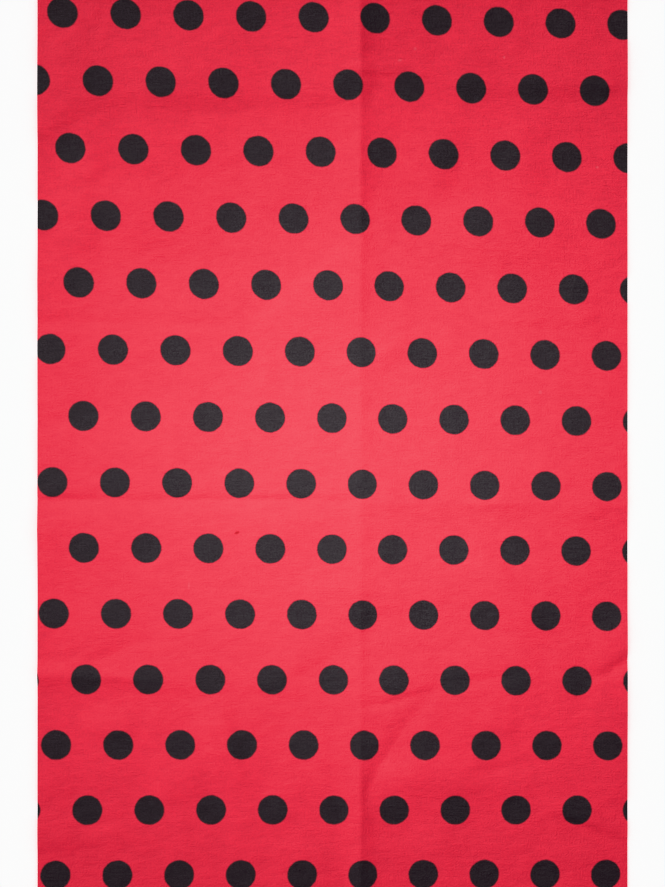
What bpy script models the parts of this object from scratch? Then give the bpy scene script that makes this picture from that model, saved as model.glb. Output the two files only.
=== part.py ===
"""A cut length of printed cotton, lying face up with the creases that it kept from being folded.

+X runs across the cloth, +Y along it and +Z up. The origin is under the middle of the piece, on the
surface that it lies on. All sizes and places are in millimetres until a vertex is placed.
"""

from collections import namedtuple
import math

import bpy

MM = 0.001

# The cut piece
WIDTH = 304
LENGTH = 468
THICKNESS = 1

# Where the cloth was folded in quarters, and an older fold near its top end
CREASE_X = 14.4
LEFT_CREASE_Y = -28.5
RIGHT_CREASE_Y = -30.8
OLD_Y = 183

# A path that leaves the cloth runs on past its edge, so that the fold keeps its height up to there
PAST_EDGE = 40
LEFT = -WIDTH / 2 - PAST_EDGE
RIGHT = WIDTH / 2 + PAST_EDGE
BOTTOM = -LENGTH / 2 - PAST_EDGE
TOP = LENGTH / 2 + PAST_EDGE

# A fold dies away over this length at each end of its path, or over this share of a shorter path. Its rise
# varies by a share of itself along the path.
END_FADE = 24
SHORT_FADE = 0.4
UNEVENNESS = 0.22
UNEVEN_LENGTH = 83

# One row for each fold. Left and right are the widths of its two flanks, looking along its path.
Fold = namedtuple("Fold", "name shape rise left right path")
FOLDS = (
    Fold("middle rise", "crease", 2.38, 72, 72, ((CREASE_X, TOP), (CREASE_X, -96))),
    Fold("lengthwise crease", "crease", 0.88, 22, 8, ((CREASE_X, BOTTOM), (CREASE_X, TOP))),
    Fold("its upper end", "crease", 0.61, 18, 13, ((CREASE_X, 104), (CREASE_X, TOP))),
    Fold("its bottom end", "crease", 0.68, 16, 13, ((CREASE_X, BOTTOM), (CREASE_X, -150))),
    Fold("left crease", "trough", 0.5, 20, 46, ((LEFT, LEFT_CREASE_Y), (CREASE_X + 8, LEFT_CREASE_Y))),
    Fold("left leaf", "valley", 0.51, 50, 56, ((LEFT, LEFT_CREASE_Y), (CREASE_X + 8, LEFT_CREASE_Y))),
    Fold("right crease", "crease", 1.2, 34, 24, ((CREASE_X - 8, RIGHT_CREASE_Y), (RIGHT, RIGHT_CREASE_Y))),
    Fold("its sharp part", "crease", 0.36, 9, 8, ((22, RIGHT_CREASE_Y), (RIGHT, RIGHT_CREASE_Y))),
    Fold("old fold, left", "swell", 1.45, 42, 13, ((-156, 162), (-134, 179), (-112, OLD_Y), (24, OLD_Y))),
    Fold("its left end", "swell", 0.68, 30, 10, ((LEFT, 148), (-146, 160), (-130, 170))),
    Fold("old fold, right", "swell", 1.15, 38, 10, ((56, OLD_Y + 3.5), (RIGHT, OLD_Y + 3.5))),
    Fold("short crease", "crease", 1.53, 12, 12, ((LEFT, -118.5), (-110, -120), (-84, -123))),
    Fold("its soft end", "swell", 0.6, 20, 10, ((-112, -119), (-86, -122), (4, -124))),
    Fold("facet above it", "trough", 0.46, 30, 30, ((-132, -114), (-112, -108), (-88, -97))),
    Fold("slanting fold", "swell", 0.9, 28, 11, ((-38, -122), (-12, -106), (6, -92), (14, -76))),
    Fold("upper slanting fold", "swell", 0.95, 10, 32, ((-40, 55), (-20, 72), (2, 91), (22, 105))),
    Fold("upper left hollow", "trough", 0.48, 24, 40, ((LEFT, 64), (-40, 62))),
    Fold("upper right hollow", "trough", 0.34, 24, 34, ((66, 62), (104, 59), (RIGHT, 60))),
    Fold("wrinkle", "trough", 0.85, 44, 56, ((16, -204), (18, -180), (25, -164), (38, -144), (59, -121))),
    Fold("wrinkle to the right", "trough", 0.54, 28, 40, ((50, -121), (78, -118.5), (112, -117))),
    Fold("its branch", "trough", 0.68, 26, 30, ((0, -137), (26, -134), (60, -125))),
    Fold("lifted edge", "trough", 1.1, 28, 36, ((118, -119), (138, -116), (RIGHT, -84))),
    Fold("lower wrinkle", "trough", 0.5, 34, 26, ((60, -174), (91, -166), (122, -163))),
    Fold("band below it", "swell", 1.4, 16, 12, ((22, -172), (94, -173))),
    Fold("bottom swell", "swell", 0.55, 13, 18, ((36, -204), (66, -202))),
    Fold("lower right crease", "swell", 0.9, 18, 9, ((100, -184), (118, -190), (RIGHT, -216))),
    Fold("lower left wrinkle", "swell", 0.55, 16, 10, ((LEFT, -207), (-132, -204), (-110, -200))),
    Fold("ripple", "swell", 1.0, 24, 15, ((46, 116), (62, 164))),
    Fold("second ripple", "swell", 0.77, 16, 15, ((96, 118), (99, 150), (97, 176))),
    Fold("left edge dimple", "swell", 1.02, 24, 9, ((LEFT, 82), (-130, 76))),
    Fold("upper left billow", "swell", 2.04, 46, 46, ((-104, 96), (-88, 136))),
    Fold("upper right billow", "swell", 1.7, 44, 44, ((84, 84), (88, 132))),
    Fold("lower left billow", "swell", 1.36, 42, 36, ((-70, -160), (-44, -152))),
    Fold("right hand billow", "swell", 1.7, 38, 38, ((78, -82), (96, -66))),
)

# The grid is closer near the creases: the strips counted up to each place, across the cloth and along it
ACROSS = ((0, -WIDTH / 2), (14, -14), (20, CREASE_X), (26, 40), (37, WIDTH / 2))
LOWER_ALONG = ((0, -LENGTH / 2), (20, -108), (27, -56), (34, LEFT_CREASE_Y))
ALONG = LOWER_ALONG + ((39, -8), (55, 146), (63, 190), (67, LENGTH / 2))

RED = (0.72, 0.02, 0.045, 1)
ROUGHNESS = 0.75


def crease(t):
    """A pressed edge, sharp along its crest."""
    return (1 - t) ** 2


def swell(t):
    """A soft rounded fold."""
    return (1 - t * t) ** 2


def valley(t):
    """A pressed edge turned down, which lies on the surface while the cloth rises at both sides of it."""
    crest = 1 / 3
    return t * (1 - t) ** 2 / (crest * (1 - crest) ** 2)


def trough(t):
    """A valley with steeper sides, from which the cloth sinks slowly back to the surface."""
    crest = 0.2
    if t < crest:
        return 1 - (1 - t / crest) ** 2
    return swell((t - crest) / (1 - crest))


SHAPES = {"crease": crease, "swell": swell, "valley": valley, "trough": trough}


def place_on_path(x, y, path):
    """The distance to the path, positive at its left, how far along it that is, and the path's length."""
    nearest = math.inf
    signed = 0
    reached = 0
    travelled = 0
    for (start_x, start_y), (end_x, end_y) in zip(path, path[1:]):
        step_x = end_x - start_x
        step_y = end_y - start_y
        length = math.hypot(step_x, step_y)
        from_x = x - start_x
        from_y = y - start_y
        share = min(max((from_x * step_x + from_y * step_y) / length**2, 0), 1)
        away = math.hypot(from_x - share * step_x, from_y - share * step_y)
        if away < nearest:
            nearest = away
            signed = math.copysign(away, step_x * from_y - step_y * from_x)
            reached = travelled + share * length
        travelled += length
    return signed, reached, travelled


def fold_height(fold, x, y):
    signed, reached, length = place_on_path(x, y, fold.path)
    flank = fold.left if signed > 0 else fold.right
    t = abs(signed) / flank
    if t >= 1:
        return 0
    end_fade = min(END_FADE, SHORT_FADE * length)
    end = min(reached, length - reached, end_fade) / end_fade
    fade = end * end * (3 - 2 * end)
    uneven = 1 + UNEVENNESS * math.sin(2 * math.pi * reached / UNEVEN_LENGTH + len(fold.name))
    return fold.rise * SHAPES[fold.shape](t) * fade * uneven


def underside_height(x, y):
    return sum(fold_height(fold, x, y) for fold in FOLDS)


def line_place(line, places):
    """Where a grid line lies, between the two places that it is counted from."""
    for (first, start), (last, end) in zip(places, places[1:]):
        if line <= last:
            return start + (end - start) * (line - first) / (last - first)
    return places[-1][1]


def printed_cotton():
    material = bpy.data.materials.new("printed cotton")
    material.use_nodes = True
    shader = material.node_tree.nodes["Principled BSDF"]
    shader.inputs["Base Color"].default_value = RED
    shader.inputs["Roughness"].default_value = ROUGHNESS
    shader.inputs["Metallic"].default_value = 0
    return material


def cloth(collection):
    """A flat grid raised into its folds, then given its thickness upwards."""
    strips_across = ACROSS[-1][0]
    strips_along = ALONG[-1][0]
    bpy.ops.mesh.primitive_grid_add(x_subdivisions=strips_across, y_subdivisions=strips_along, size=1)
    sheet = bpy.context.object
    sheet.name = "cloth"
    sheet.data.name = "cloth"
    for vertex in sheet.data.vertices:
        x = line_place(round((vertex.co.x + 0.5) * strips_across), ACROSS)
        y = line_place(round((vertex.co.y + 0.5) * strips_along), ALONG)
        vertex.co = (x * MM, y * MM, underside_height(x, y) * MM)
    sheet.data.materials.append(printed_cotton())
    sheet.data.shade_smooth()
    wall = sheet.modifiers.new("thickness", "SOLIDIFY")
    wall.thickness = THICKNESS * MM
    wall.offset = 1
    for holder in sheet.users_collection:
        holder.objects.unlink(sheet)
    collection.objects.link(sheet)


def main():
    for thing in list(bpy.data.objects):
        bpy.data.objects.remove(thing)
    collection = bpy.data.collections.new("polka dot fabric")
    bpy.context.scene.collection.children.link(collection)
    cloth(collection)


main()
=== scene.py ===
import math
from collections import namedtuple

import bpy
import numpy as np
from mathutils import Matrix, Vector, noise


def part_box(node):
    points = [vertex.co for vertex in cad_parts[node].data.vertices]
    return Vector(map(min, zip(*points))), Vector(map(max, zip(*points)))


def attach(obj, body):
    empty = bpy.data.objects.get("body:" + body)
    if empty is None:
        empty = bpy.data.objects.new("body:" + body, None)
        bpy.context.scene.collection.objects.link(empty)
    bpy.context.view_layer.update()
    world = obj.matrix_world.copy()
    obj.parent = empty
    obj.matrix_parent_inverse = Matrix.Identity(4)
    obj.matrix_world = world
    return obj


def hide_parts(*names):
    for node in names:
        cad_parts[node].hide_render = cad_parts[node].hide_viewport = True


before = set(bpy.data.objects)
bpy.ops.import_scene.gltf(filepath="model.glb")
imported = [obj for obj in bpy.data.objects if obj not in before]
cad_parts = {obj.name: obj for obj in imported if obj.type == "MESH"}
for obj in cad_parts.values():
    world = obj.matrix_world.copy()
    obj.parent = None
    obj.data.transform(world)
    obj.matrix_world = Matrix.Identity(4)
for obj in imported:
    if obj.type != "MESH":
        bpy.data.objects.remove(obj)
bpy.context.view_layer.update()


# ---------------------------------------------------------------- the camera
# It looks straight down on the middle of the cloth, from so far away that the folds hardly shift the print.
# It takes in all the cloth but a narrow strip at each end, and some of the floor at both sides.

# Sizes are in millimetres, and this turns them into metres
MM = 0.001

# The view is this tall at the mean height of the folds
VIEW_HEIGHT = 455.9
MEAN_HEIGHT = 2.5
LENS = 85
SENSOR = 36

distance = VIEW_HEIGHT * LENS / SENSOR
bpy.ops.object.camera_add(location=(0, 0, (distance + MEAN_HEIGHT) * MM), rotation=(0, 0, 0))
camera = bpy.context.object
camera.name = "camera"
camera.data.lens = LENS
camera.data.sensor_width = SENSOR
bpy.context.scene.camera = camera


# ---------------------------------------------------------------- the cut length of cotton
# Plain-woven cotton of about 120 g/m2, printed with black dots on a red ground and cut off the bolt with
# straight edges. It was folded in quarters for sale, and now lies face up on the creases that it kept.

lowest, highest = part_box("cloth")
WIDTH = round((highest[0] - lowest[0]) / MM)
LENGTH = round((highest[1] - lowest[1]) / MM)
THICKNESS = 0.4

# The creases of the quarter fold, and the older, softer fold near the top end. The rise under the lengthwise
# crease bows a little to the right further down, and the halves of the crosswise crease don't quite meet.
CREASE_X = 14.4
BOWED_X = 15
LEFT_CREASE_Y = -28.5
RIGHT_CREASE_Y = -30.8
OLD_Y = 183

# A path that leaves the cloth runs on past its edge, so that the fold keeps its height up to there
PAST_EDGE = 40
LEFT = -WIDTH / 2 - PAST_EDGE
RIGHT = WIDTH / 2 + PAST_EDGE
BOTTOM = -LENGTH / 2 - PAST_EDGE
TOP = LENGTH / 2 + PAST_EDGE

# A fold dies away over this length at each end of its path, or over this share of a shorter path
END_FADE = 24
SHORT_FADE = 0.4

# Its rise varies by this share of itself, once up and down in this length of the path
UNEVENNESS = 0.22
UNEVEN_LENGTH = 83

# One row for each fold. Left and right are the widths of its two flanks, looking along its path.
Fold = namedtuple("Fold", "name shape rise left right path")
FOLDS = (
    Fold(
        "middle rise", "crease", 2.38, 72, 72,
        ((CREASE_X, TOP), (CREASE_X, 40), (BOWED_X, 0), (BOWED_X, -96)),
    ),
    Fold("lengthwise crease", "crease", 0.26, 18, 8, ((CREASE_X, BOTTOM), (CREASE_X, TOP))),
    Fold("its upper part", "crease", 0.4, 20, 8, ((CREASE_X, 52), (CREASE_X, TOP))),
    Fold("its upper end", "crease", 0.62, 22, 22, ((CREASE_X, 112), (CREASE_X, TOP))),
    Fold("its lower part", "crease", 0.48, 22, 8, ((CREASE_X, BOTTOM), (CREASE_X, -70))),
    Fold("its bottom end", "crease", 0.75, 13, 24, ((CREASE_X, BOTTOM), (CREASE_X, -156))),
    Fold("bulge under it", "swell", 0.4, 10, 10, ((CREASE_X, BOTTOM), (CREASE_X, -168))),
    Fold("left crease", "trough", 0.28, 15, 46, ((LEFT, LEFT_CREASE_Y), (CREASE_X + 8, LEFT_CREASE_Y))),
    Fold("its outer part", "trough", 0.32, 15, 30, ((-156, LEFT_CREASE_Y), (-112, LEFT_CREASE_Y))),
    Fold("its middle part", "trough", 0.14, 14, 30, ((-82, LEFT_CREASE_Y), (-50, LEFT_CREASE_Y))),
    Fold("part by the middle", "trough", 0.34, 15, 30, ((-48, LEFT_CREASE_Y), (-14, LEFT_CREASE_Y))),
    Fold("band below it", "swell", 0.2, 9, 12, ((LEFT, -40.5), (CREASE_X - 20, -40.5))),
    Fold("left leaf", "valley", 0.51, 50, 56, ((LEFT, LEFT_CREASE_Y), (CREASE_X + 8, LEFT_CREASE_Y))),
    Fold("right crease", "crease", 0.5, 34, 24, ((CREASE_X - 8, RIGHT_CREASE_Y), (RIGHT, RIGHT_CREASE_Y))),
    Fold("its inner part", "crease", 0.6, 34, 24, ((CREASE_X - 8, RIGHT_CREASE_Y), (118, RIGHT_CREASE_Y))),
    Fold("its sharp part", "crease", 0.32, 10, 12, ((CREASE_X - 4, RIGHT_CREASE_Y), (108, RIGHT_CREASE_Y))),
    Fold("pinch in it", "swell", 0.4, 12, 4, ((124, -40), (144, -31))),
    Fold("old fold, left", "swell", 1.45, 42, 13, ((-156, 162), (-134, 179), (-112, OLD_Y), (24, OLD_Y))),
    Fold("its left end", "swell", 0.68, 30, 10, ((LEFT, 152), (-146, 164), (-130, 172))),
    Fold("old fold, right", "swell", 1.15, 38, 10, ((50, OLD_Y + 3.5), (RIGHT, OLD_Y + 3.5))),
    Fold("pucker at the crease", "swell", 0.75, 8, 3, ((4, 192.5), (38, 190.5))),
    Fold("second pucker", "swell", 0.3, 8, 4, ((10, 185.5), (24, 185))),
    Fold("short crease", "crease", 1.53, 11, 10, ((LEFT, -118.5), (-110, -120), (-84, -123))),
    Fold("its sharp end", "crease", 0.24, 5, 4, ((-128, -119.3), (-98, -121.2))),
    Fold("its soft end", "swell", 0.6, 20, 10, ((-112, -119), (-86, -122), (4, -124))),
    Fold("facet above it", "trough", 0.48, 50, 30, ((-132, -114), (-112, -108), (-88, -97))),
    Fold("slanting fold", "swell", 0.9, 28, 11, ((-38, -122), (-12, -106), (6, -92), (14, -76))),
    Fold("upper slanting fold", "swell", 0.95, 9, 32, ((-40, 55), (-20, 72), (2, 91), (22, 105))),
    Fold("upper left hollow", "trough", 0.48, 24, 40, ((LEFT, 64), (-40, 62))),
    Fold("upper right hollow", "trough", 0.34, 24, 34, ((66, 62), (104, 59), (RIGHT, 60))),
    Fold("dent by the crease", "swell", 0.68, 20, 8, ((18, 43), (45, 54))),
    Fold("wrinkle", "trough", 0.86, 54, 72, ((16, -198), (18, -180), (25, -164), (38, -144), (59, -121))),
    Fold("foot of the wrinkle", "trough", 0.17, 20, 20, ((15, -192), (17, -178), (24, -158))),
    Fold("wrinkle to the right", "trough", 0.62, 20, 40, ((54, -124), (84, -120), (112, -115))),
    Fold("its far end", "trough", 0.42, 20, 26, ((108, -117), (130, -117.5))),
    Fold("its branch", "trough", 0.68, 22, 30, ((0, -137), (26, -134), (60, -125))),
    Fold("lifted edge", "trough", 1.2, 26, 46, ((122, -119), (140, -118.5), (RIGHT, -84))),
    Fold("lower wrinkle", "trough", 0.5, 34, 24, ((60, -174), (91, -166), (122, -163))),
    Fold("band under it", "swell", 1.3, 16, 12, ((20, -172), (88, -174))),
    Fold("bottom swell", "swell", 0.55, 13, 18, ((36, -204), (66, -202))),
    Fold("lower right crease", "swell", 0.8, 14, 3, ((100, -184), (118, -190), (RIGHT, -216))),
    Fold("lower left wrinkle", "swell", 0.55, 16, 7, ((LEFT, -207), (-132, -204), (-110, -200))),
    Fold("its right end", "swell", 0.36, 5, 12, ((-130, -205), (-118, -202), (-102, -196))),
    Fold("ripple", "swell", 0.85, 26, 13, ((45, 116), (50, 132), (64, 174))),
    Fold("second ripple", "swell", 0.77, 16, 15, ((96, 118), (99, 150), (97, 176))),
    Fold("first dimple", "swell", 0.71, 24, 6, ((-142, 138), (-114, 140))),
    Fold("second dimple", "swell", 0.68, 24, 6, ((-150, 121), (-120, 120))),
    Fold("third dimple", "swell", 0.65, 24, 6, ((-146, 105), (-118, 103))),
    Fold("fourth dimple", "swell", 1.1, 24, 9, ((LEFT, 89), (-124, 80))),
    Fold("upper left billow", "swell", 2.04, 46, 46, ((-104, 96), (-88, 136))),
    Fold("upper right billow", "swell", 1.7, 44, 44, ((84, 84), (88, 132))),
    Fold("lower left billow", "swell", 1.36, 42, 36, ((-70, -160), (-44, -152))),
    Fold("right hand billow", "swell", 1.7, 38, 38, ((78, -82), (96, -66))),
    Fold("left edge hollow", "swell", 0.68, 12, 7, ((LEFT, -46), (-130, -47))),
    Fold("second left edge hollow", "swell", 0.6, 22, 13, ((LEFT, 23), (-120, 22))),
    Fold("bottom left pucker", "swell", 0.7, 18, 14, ((-98, -178), (-60, -176))),
    Fold("second bottom pucker", "swell", 0.51, 9, 16, ((-26, -200), (-28, -172))),
    Fold("third bottom pucker", "swell", 0.77, 14, 8, ((-132, -146), (-98, -148))),
    Fold("foot of the left side", "swell", 0.4, 7, 14, ((-60, -210), (8, -210))),
    Fold("right edge pucker", "swell", 0.6, 12, 9, ((120, 96), (132, 54))),
    Fold("bottom right pucker", "swell", 0.45, 12, 8, ((96, -212), (150, -212))),
    Fold("right middle pucker", "swell", 0.68, 12, 8, ((74, -138), (96, -150))),
)

# Soft unevenness between the folds: the size of its swellings across and along the cloth, and their height
Unevenness = namedtuple("Unevenness", "across along rise")
UNEVEN_PARTS = (
    Unevenness(62, 38, 0.51),
    Unevenness(24, 30, 0.34),
    Unevenness(26, 11, 0.204),
    Unevenness(8, 16, 0.119),
    Unevenness(12, 6, 0.076),
)

# Every unit of rise moves a part this far through the noise, so no two parts are alike
APART = 100

# The grid is closer near the creases: the strips counted up to each place, across the cloth and along it
ACROSS = ((0, -WIDTH / 2), (78, -10), (98, CREASE_X), (116, 36), (178, WIDTH / 2))
ALONG = ((0, -LENGTH / 2), (78, -96), (110, -36), (130, -16), (208, 140), (246, 196), (268, LENGTH / 2))


def crease(t):
    """A pressed edge, sharp along its crest."""
    return (1 - t) ** 2


def swell(t):
    """A soft rounded fold."""
    return (1 - t * t) ** 2


def valley(t):
    """A pressed edge turned down, which lies on the floor while the cloth rises at both sides of it."""
    crest = 1 / 3
    return t * (1 - t) ** 2 / (crest * (1 - crest) ** 2)


def trough(t):
    """A valley with steeper sides, from which the cloth sinks slowly back to the floor."""
    crest = 0.2
    steep = 1 - (1 - t / crest) ** 2
    slow = swell(np.clip((t - crest) / (1 - crest), 0, 1))
    return np.where(t < crest, steep, slow)


SHAPES = {"crease": crease, "swell": swell, "valley": valley, "trough": trough}


def place_on_path(x, y, path):
    """The distance to the path, positive at its left, how far along it that is, and the path's length."""
    nearest = np.full(x.shape, np.inf)
    signed = np.zeros(x.shape)
    reached = np.zeros(x.shape)
    travelled = 0
    for (start_x, start_y), (end_x, end_y) in zip(path, path[1:]):
        step_x = end_x - start_x
        step_y = end_y - start_y
        length = math.hypot(step_x, step_y)
        from_x = x - start_x
        from_y = y - start_y
        share = np.clip((from_x * step_x + from_y * step_y) / length**2, 0, 1)
        away = np.hypot(from_x - share * step_x, from_y - share * step_y)
        closer = away < nearest
        nearest = np.where(closer, away, nearest)
        signed = np.where(closer, np.copysign(away, step_x * from_y - step_y * from_x), signed)
        reached = np.where(closer, travelled + share * length, reached)
        travelled += length
    return signed, reached, travelled


def fold_height(fold, x, y):
    """How far one fold lifts the cloth. The length of its name sets where along its path it is highest."""
    signed, reached, length = place_on_path(x, y, fold.path)
    flank = np.where(signed > 0, fold.left, fold.right)
    t = np.minimum(np.abs(signed) / flank, 1)
    end_fade = min(END_FADE, SHORT_FADE * length)
    end = np.minimum(np.minimum(reached, length - reached), end_fade) / end_fade
    fade = end * end * (3 - 2 * end)
    uneven = 1 + UNEVENNESS * np.sin(2 * math.pi * reached / UNEVEN_LENGTH + len(fold.name))
    return fold.rise * SHAPES[fold.shape](t) * fade * uneven


def uneven_height(part, x, y):
    """How far one part of the unevenness lifts the cloth: smooth noise that never sinks below the floor."""
    depth = part.rise * APART
    values = [noise.noise((a / part.across, b / part.along, depth)) for a, b in zip(x, y)]
    return part.rise * (1 + np.array(values))


def line_place(line, places):
    """Where a grid line lies, between the two places that it is counted from."""
    return np.interp(line, [count for count, place in places], [place for count, place in places])


bpy.ops.object.select_all(action="DESELECT")
strips_across = ACROSS[-1][0]
strips_along = ALONG[-1][0]
bpy.ops.mesh.primitive_grid_add(x_subdivisions=strips_across, y_subdivisions=strips_along, size=1)
cloth = bpy.context.object
cloth.name = "cotton_length"
cloth.data.name = "cotton_length"
corners = np.empty(len(cloth.data.vertices) * 3)
cloth.data.vertices.foreach_get("co", corners)
corners = corners.reshape(-1, 3)
across = line_place(np.round((corners[:, 0] + 0.5) * strips_across), ACROSS)
along = line_place(np.round((corners[:, 1] + 0.5) * strips_along), ALONG)
height = sum(fold_height(fold, across, along) for fold in FOLDS)
height += sum(uneven_height(part, across, along) for part in UNEVEN_PARTS)

# The lowest point touches the floor
height -= height.min()
corners = np.column_stack((across, along, height)) * MM
cloth.data.vertices.foreach_set("co", corners.ravel())

# The dots stand this far apart in a row, in rows this far apart, and each row is moved by half a dot's place
# against the next. The middle of the cloth lies at this column and row of the print.
COLUMN = 31.8
ROW = 33.94
MIDDLE_COLUMN = 4.0217
MIDDLE_ROW = -0.3893

# The print was pulled a little out of square. Towards the top end its columns lean to the left, its rows
# droop to the right, and both lie further apart than at the bottom end. The columns lie closest at the right
# side, and sway a little.
COLUMN_LEAN = 0.000553
COLUMN_BOW = 2.94e-6
COLUMN_TWIST = 3.22e-9
COLUMN_SPREAD = 1.145e-6
COLUMN_STRETCH = 1.44e-6
ROW_DROOP = 0.0002855
ROW_FAN = 1.581e-6
ROW_SPREAD = 1.376e-6
ROW_BOW = 3.1e-7
SWAY_LENGTH = 220
SWAY = 0.01686
SWAY_LAG = 0.00553

# Each crease takes up a thread or two within this distance of it
TAKEN_UP = 10
COLUMN_STEP = 0.011
ROW_STEP = 0.0059

turn = 2 * math.pi * along / SWAY_LENGTH
column = MIDDLE_COLUMN + across / COLUMN
column += COLUMN_LEAN * along + COLUMN_BOW * along**2 + COLUMN_TWIST * along**3
column += COLUMN_STRETCH * across**2 - COLUMN_SPREAD * across * along
column -= SWAY * np.sin(turn) + SWAY_LAG * np.cos(turn)
column += COLUMN_STEP * np.tanh((across - CREASE_X) / TAKEN_UP)
row = MIDDLE_ROW + along / ROW - ROW_SPREAD * along**2
row += across * (ROW_DROOP + ROW_FAN * along) + ROW_BOW * across**2
row += ROW_STEP * np.tanh((along - LEFT_CREASE_Y) / TAKEN_UP)
print_place = np.column_stack((column, row))

corner_of_loop = np.empty(len(cloth.data.loops), dtype=np.int32)
cloth.data.loops.foreach_get("vertex_index", corner_of_loop)
print_map = cloth.data.uv_layers[0]
print_map.name = "print"
print_map.data.foreach_set("uv", print_place[corner_of_loop].ravel())

# The thickness goes on upwards, so the underside lies on the floor
wall = cloth.modifiers.new("thickness", "SOLIDIFY")
wall.thickness = THICKNESS * MM
wall.offset = 1
bpy.ops.object.modifier_apply(modifier=wall.name)
cloth.data.shade_smooth()
cloth.data.set_sharp_from_angle(angle=math.radians(50))


# The finish of the cotton: plain weave of single yarns with thick places in them, dyed red with black pigment
# dots over it. The yarns are too fine to be told apart from where the camera is.

YARN = 0.42
DOT_DIAMETER = 15.5

# A dot's edge fades over this distance to either side
DOT_EDGE = 0.42

# What makes the cotton uneven, as kinds of noise: the size of each across and along the cloth, how fine its
# detail is, and how much of it there is
Grain = namedtuple("Grain", "across along detail amount")
WEFT = Grain(8, 0.7, 1, 0.6)
SLUBS = Grain(4.5, 1.5, 2, 0.5)
WARP = Grain(0.8, 7, 2, 0.5)
FIBRES = Grain(0.9, 0.8, 1, 1.3)
PATCHES = Grain(8, 4.5, 2, 0.8)
CLOUDS = Grain(26, 16, 3, 0.5)
WAVER = Grain(3.2, 3.2, 2, 0.6)
RAGGED_EDGE = Grain(YARN, YARN, 0, 0.35)
MISSED_FIBRES = Grain(0.5, 0.5, 1, 1)
SPECKS = Grain(0.8, 0.65, 0, 1)
SPECKED_PLACES = Grain(13, 10, 1, 1)

# The yarns stand out by these factors at the left and right sides, and by this much more at the top end, more
# and more from the first of these places along the cloth to the second
OUT_AT_LEFT = 0.88
OUT_AT_RIGHT = 1.12
MORE_AT_TOP = 0.2
TOP_FROM = 30
TOP_TO = 150

# Where the dye has missed a fibre, this share of its bare colour shows in the red, and this share of the red
# shows in the dots
BARE_SHARE = 0.35
RED_SHARE = 0.2

# How far the weave, the grain of the yarns and the soft patches stand up, in millimetres
WEAVE_RELIEF = 0.045
YARN_RELIEF = 0.18
PATCH_RELIEF = 0.55


class CottonFinish:
    """The nodes of one material, each made by a short call that sets numbers and colours on its sockets."""

    def __init__(self, name):
        self.material = bpy.data.materials.new(name)
        self.material.use_nodes = True
        self.tree = self.material.node_tree
        self.shader = self.tree.nodes["Principled BSDF"]

    def put(self, value, socket):
        if isinstance(value, (int, float, tuple)):
            socket.default_value = value
        else:
            self.tree.links.new(value, socket)

    def node(self, kind, inputs, **settings):
        made = self.tree.nodes.new(kind)
        for name, value in settings.items():
            setattr(made, name, value)
        for key, value in inputs.items():
            self.put(value, made.inputs[key])
        return made

    def math(self, operation, *values):
        return self.node("ShaderNodeMath", dict(enumerate(values)), operation=operation).outputs[0]

    def times(self, value, amount):
        return self.math("MULTIPLY", value, amount)

    def sum(self, *values):
        total = values[0]
        for value in values[1:]:
            total = self.math("ADD", total, value)
        return total

    def vector(self, operation, *values):
        made = self.node("ShaderNodeVectorMath", dict(enumerate(values)), operation=operation)
        return made.outputs["Value" if operation == "LENGTH" else "Vector"]

    def grain(self, place, kind):
        """Smooth noise about 0, nearly all of it within half its amount to either side."""
        stretched = self.vector("MULTIPLY", place, (1 / kind.across, 1 / kind.along, 0))
        inputs = {"Vector": stretched, "Scale": 1.0, "Detail": float(kind.detail), "Roughness": 0.5}
        noise_value = self.node("ShaderNodeTexNoise", inputs).outputs["Fac"]
        return self.times(self.math("SUBTRACT", noise_value, 0.5), kind.amount)

    def span(self, value, low, high, to_low=0.0, to_high=1.0):
        """The value carried smoothly from one range to another, and held at its ends."""
        inputs = {"Value": value, "From Min": low, "From Max": high, "To Min": to_low, "To Max": to_high}
        return self.node("ShaderNodeMapRange", inputs, interpolation_type="SMOOTHSTEP").outputs["Result"]

    def mix(self, share, first, second):
        made = self.node("ShaderNodeMix", {"Factor": share, 6: first, 7: second}, data_type="RGBA")
        return made.outputs[2]


def dot_distance(finish, uv):
    """The distance in millimetres to the nearest dot.

    A dot stands at each whole column of every other row, and half a column on in the rows between.
    """
    distances = []
    for shift in ((0, 0, 0), (0.5, 1, 0)):
        shifted = finish.vector("ADD", uv, shift)
        wrapped = finish.vector("WRAP", shifted, (0.5, 1, 1), (-0.5, -1, -1))
        distances.append(finish.vector("LENGTH", finish.vector("MULTIPLY", wrapped, (COLUMN, ROW, 0))))
    return finish.math("MINIMUM", *distances)


def with_fault(finish, lying, fault, ground):
    """The ground with one small fault of the yarn in it, which fades out at its rim."""
    where = {
        0: lying,
        "Location": (fault.across, fault.along, 0),
        "Rotation": (0, 0, math.radians(fault.lean)),
        "Scale": (fault.length / 2, fault.width / 2, 1),
    }
    around = finish.node("ShaderNodeMapping", where, vector_type="TEXTURE").outputs[0]
    shown = finish.span(finish.vector("LENGTH", around), 1.2, 0.4, to_high=fault.share)
    return finish.mix(shown, ground, fault.colour)


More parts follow.
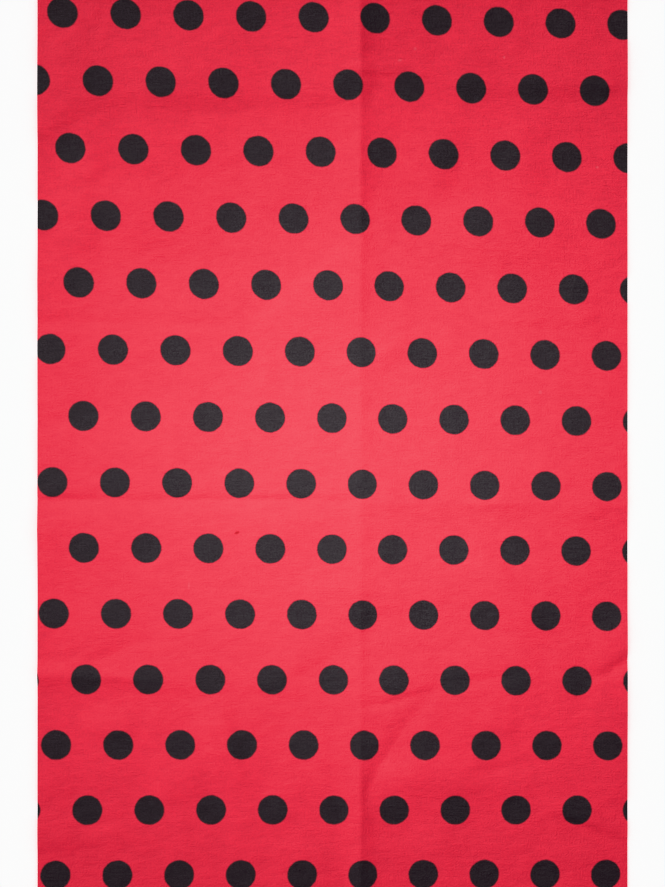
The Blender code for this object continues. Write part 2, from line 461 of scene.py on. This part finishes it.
def printed_cotton(name, ground, deep_and_shaded_ground, dots, deep_dots, bare, faults=()):
    finish = CottonFinish(name)

    # Where a point is in the print, in columns and rows, and in millimetres on the cloth before it was folded
    # and on the cloth as it lies
    uv = finish.node("ShaderNodeUVMap", {}, uv_map="print").outputs["UV"]
    place = finish.vector("MULTIPLY", uv, (COLUMN, ROW, 0))
    metres = finish.node("ShaderNodeTexCoord", {}).outputs["Object"]
    lying = finish.vector("MULTIPLY", metres, (1 / MM, 1 / MM, 0))
    lying_parts = finish.node("ShaderNodeSeparateXYZ", {0: lying}).outputs

    # Yarns with thick and thin places, mostly in the weft, and the noise of single fibres. They stand out
    # most at the top end and the right side, both in their relief and in the painted shade of their colour.
    yarns = finish.sum(*[finish.grain(place, kind) for kind in (WEFT, SLUBS, WARP, FIBRES)])
    to_right = finish.span(lying_parts[0], -WIDTH / 2, WIDTH / 2, OUT_AT_LEFT, OUT_AT_RIGHT)
    to_top = finish.span(lying_parts[1], TOP_FROM, TOP_TO, to_high=MORE_AT_TOP)
    yarns = finish.times(yarns, finish.sum(to_right, to_top))
    patches = finish.sum(finish.grain(place, PATCHES), finish.grain(place, CLOUDS))

    # The edge of a dot follows the yarns, so it wavers a little
    edge = finish.sum(finish.grain(place, WAVER), finish.grain(place, RAGGED_EDGE))
    radius = DOT_DIAMETER / 2
    from_dot = finish.sum(dot_distance(finish, uv), edge)
    in_dot = finish.span(from_dot, radius + DOT_EDGE, radius - DOT_EDGE)

    # Where the yarns and patches lie low the colour is deeper, partly their own tone and partly painted
    # shade, and here and there the print has missed a fibre
    missed = finish.grain(place, MISSED_FIBRES)
    shade = finish.span(finish.sum(yarns, patches), -0.9, 0.9)
    red = finish.mix(shade, deep_and_shaded_ground, ground)
    red = finish.mix(finish.span(missed, 0.27, 0.4, to_high=BARE_SHARE), red, bare)
    for fault in faults:
        red = with_fault(finish, lying, fault, red)
    specked = finish.span(finish.grain(place, SPECKED_PLACES), -0.08, 0.2)
    tone = finish.sum(finish.times(yarns, 0.7), finish.times(finish.grain(place, SPECKS), specked))
    black = finish.mix(finish.span(tone, -0.4, 0.4), deep_dots, dots)
    black = finish.mix(finish.span(missed, 0.26, 0.4, to_high=RED_SHARE), black, ground)
    finish.put(finish.mix(in_dot, red, black), finish.shader.inputs["Base Color"])

    # Plain weave: each yarn goes over one and under the next
    turns = finish.vector("MULTIPLY", place, (math.pi / YARN, math.pi / YARN, 0))
    split = finish.node("ShaderNodeSeparateXYZ", {0: turns}).outputs
    over = finish.times(finish.math("SINE", split[0]), finish.math("SINE", split[1]))
    weave = finish.times(over, WEAVE_RELIEF)
    relief = finish.sum(weave, finish.times(yarns, YARN_RELIEF), finish.times(patches, PATCH_RELIEF))
    bump = finish.node("ShaderNodeBump", {"Height": relief, "Distance": MM, "Strength": 1.0})
    finish.put(bump.outputs["Normal"], finish.shader.inputs["Normal"])
    finish.put(0.78, finish.shader.inputs["Roughness"])
    finish.put(0.05, finish.shader.inputs["Sheen Weight"])
    finish.put(0.4, finish.shader.inputs["Sheen Roughness"])
    return finish.material


RED = (0.9, 0.0435, 0.08, 1)
# The deeper red is partly the yarns' own tone and partly painted shade for their low places
DEEP_AND_SHADED_RED = (0.67, 0.035, 0.0655, 1)
BLACK = (0.045, 0.037, 0.042, 1)
DEEP_BLACK = (0.0234, 0.0154, 0.02, 1)
BARE = (0.85, 0.24, 0.28, 1)
DARK_THREAD = (0.42, 0.012, 0.02, 1)

# The small faults of the yarn on the face, by their middles and sizes: a scrap of dark thread caught in the
# weave, and neps, pale knots of fibre that took less dye. The share is how much of the fault's colour shows.
Fault = namedtuple("Fault", "name across along length width lean share colour")
FAULTS = (
    Fault("dark thread", -49.1, -45.9, 3, 1.7, 22, 0.95, DARK_THREAD),
    Fault("nep at the top", 34.6, 197, 2.4, 1.5, 10, 0.2, BARE),
    Fault("nep beside it", 42.5, 203, 1.9, 2.1, 0, 0.17, BARE),
    Fault("right top nep", 88.3, 198.6, 1.4, 1.9, 0, 0.2, BARE),
    Fault("right middle nep", 107, 26.4, 2.2, 2.4, 0, 0.15, BARE),
    Fault("right side nep", 136.3, 142.2, 2.2, 1.4, 0, 0.18, BARE),
    Fault("thick end of warp", -73.9, -73, 1.4, 4.6, 0, 0.1, BARE),
)
front = printed_cotton("printed cotton", RED, DEEP_AND_SHADED_RED, BLACK, DEEP_BLACK, BARE, FAULTS)

# The print shows through on the back, paler
BACK_RED = (0.76, 0.12, 0.15, 1)
# The deeper red of the back is likewise partly tone and partly painted shade
BACK_DEEP_AND_SHADED_RED = (0.7, 0.1, 0.13, 1)
BACK_DOTS = (0.3, 0.075, 0.09, 1)
BACK_DEEP_DOTS = (0.27, 0.065, 0.08, 1)
BACK_BARE = (0.85, 0.4, 0.42, 1)
back = printed_cotton("back of the cotton", BACK_RED, BACK_DEEP_AND_SHADED_RED, BACK_DOTS, BACK_DEEP_DOTS, BACK_BARE)

# The faces that look down are the back, and the cut edges are like the front
LOOKS_DOWN = -0.5
cloth.data.materials.clear()
cloth.data.materials.append(front)
cloth.data.materials.append(back)
for face in cloth.data.polygons:
    face.material_index = 1 if face.normal.z < LOOKS_DOWN else 0

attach(cloth, "root")
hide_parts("cloth")


# ---------------------------------------------------------------- the floor and the light
# A plain white board that glows a little, so that it stays white under a lamp that falls off to the sides. It
# lies a hair lower than the cloth, so that the two never show through each other.

FLOOR_GAP = 0.5
bpy.ops.mesh.primitive_plane_add(size=12, location=(0, 0, -FLOOR_GAP * MM))
floor = bpy.context.object
floor.name = "floor"
board = bpy.data.materials.new("white board")
board.use_nodes = True
board_shader = board.node_tree.nodes["Principled BSDF"]
board_shader.inputs["Base Color"].default_value = (0.9, 0.9, 0.9, 1)
board_shader.inputs["Roughness"].default_value = 0.9
board_shader.inputs["Emission Color"].default_value = (1, 1, 1, 1)
board_shader.inputs["Emission Strength"].default_value = 1.5
floor.data.materials.append(board)

# A lamp just below the camera and unseen by it, whose light falls off softly from the middle of the cloth
LAMP_HEIGHT = 1000
LAMP_REACH = 240
LAMP_AXIS_Y = -2
bpy.ops.object.light_add(type="AREA", location=(0, LAMP_AXIS_Y * MM, LAMP_HEIGHT * MM))
lamp = bpy.context.object
lamp.name = "camera lamp"
lamp.data.shape = "DISK"
lamp.data.size = 0.16
lamp.data.spread = 2 * math.atan(LAMP_REACH / LAMP_HEIGHT)
lamp.data.energy = 0.169
lamp.data.color = (0.92, 1, 0.97)
lamp.visible_camera = False

# A soft light from the upper left, which shows the folds
KEY_DIRECTION = Vector((0.5415, -0.455, -0.7071))
bpy.ops.object.light_add(type="SUN", location=(-0.6, 0.5, 0.5))
key = bpy.context.object
key.name = "side light"
key.rotation_euler = KEY_DIRECTION.to_track_quat("-Z", "Y").to_euler()
key.data.energy = 3.24
key.data.angle = math.radians(16)

# A faint even light from all round
world = bpy.data.worlds.new("soft room")
world.use_nodes = True
world.node_tree.nodes["Background"].inputs["Color"].default_value = (1, 1, 1, 1)
world.node_tree.nodes["Background"].inputs["Strength"].default_value = 0.2
bpy.context.scene.world = world
bpy.context.scene.view_settings.view_transform = "Khronos PBR Neutral"
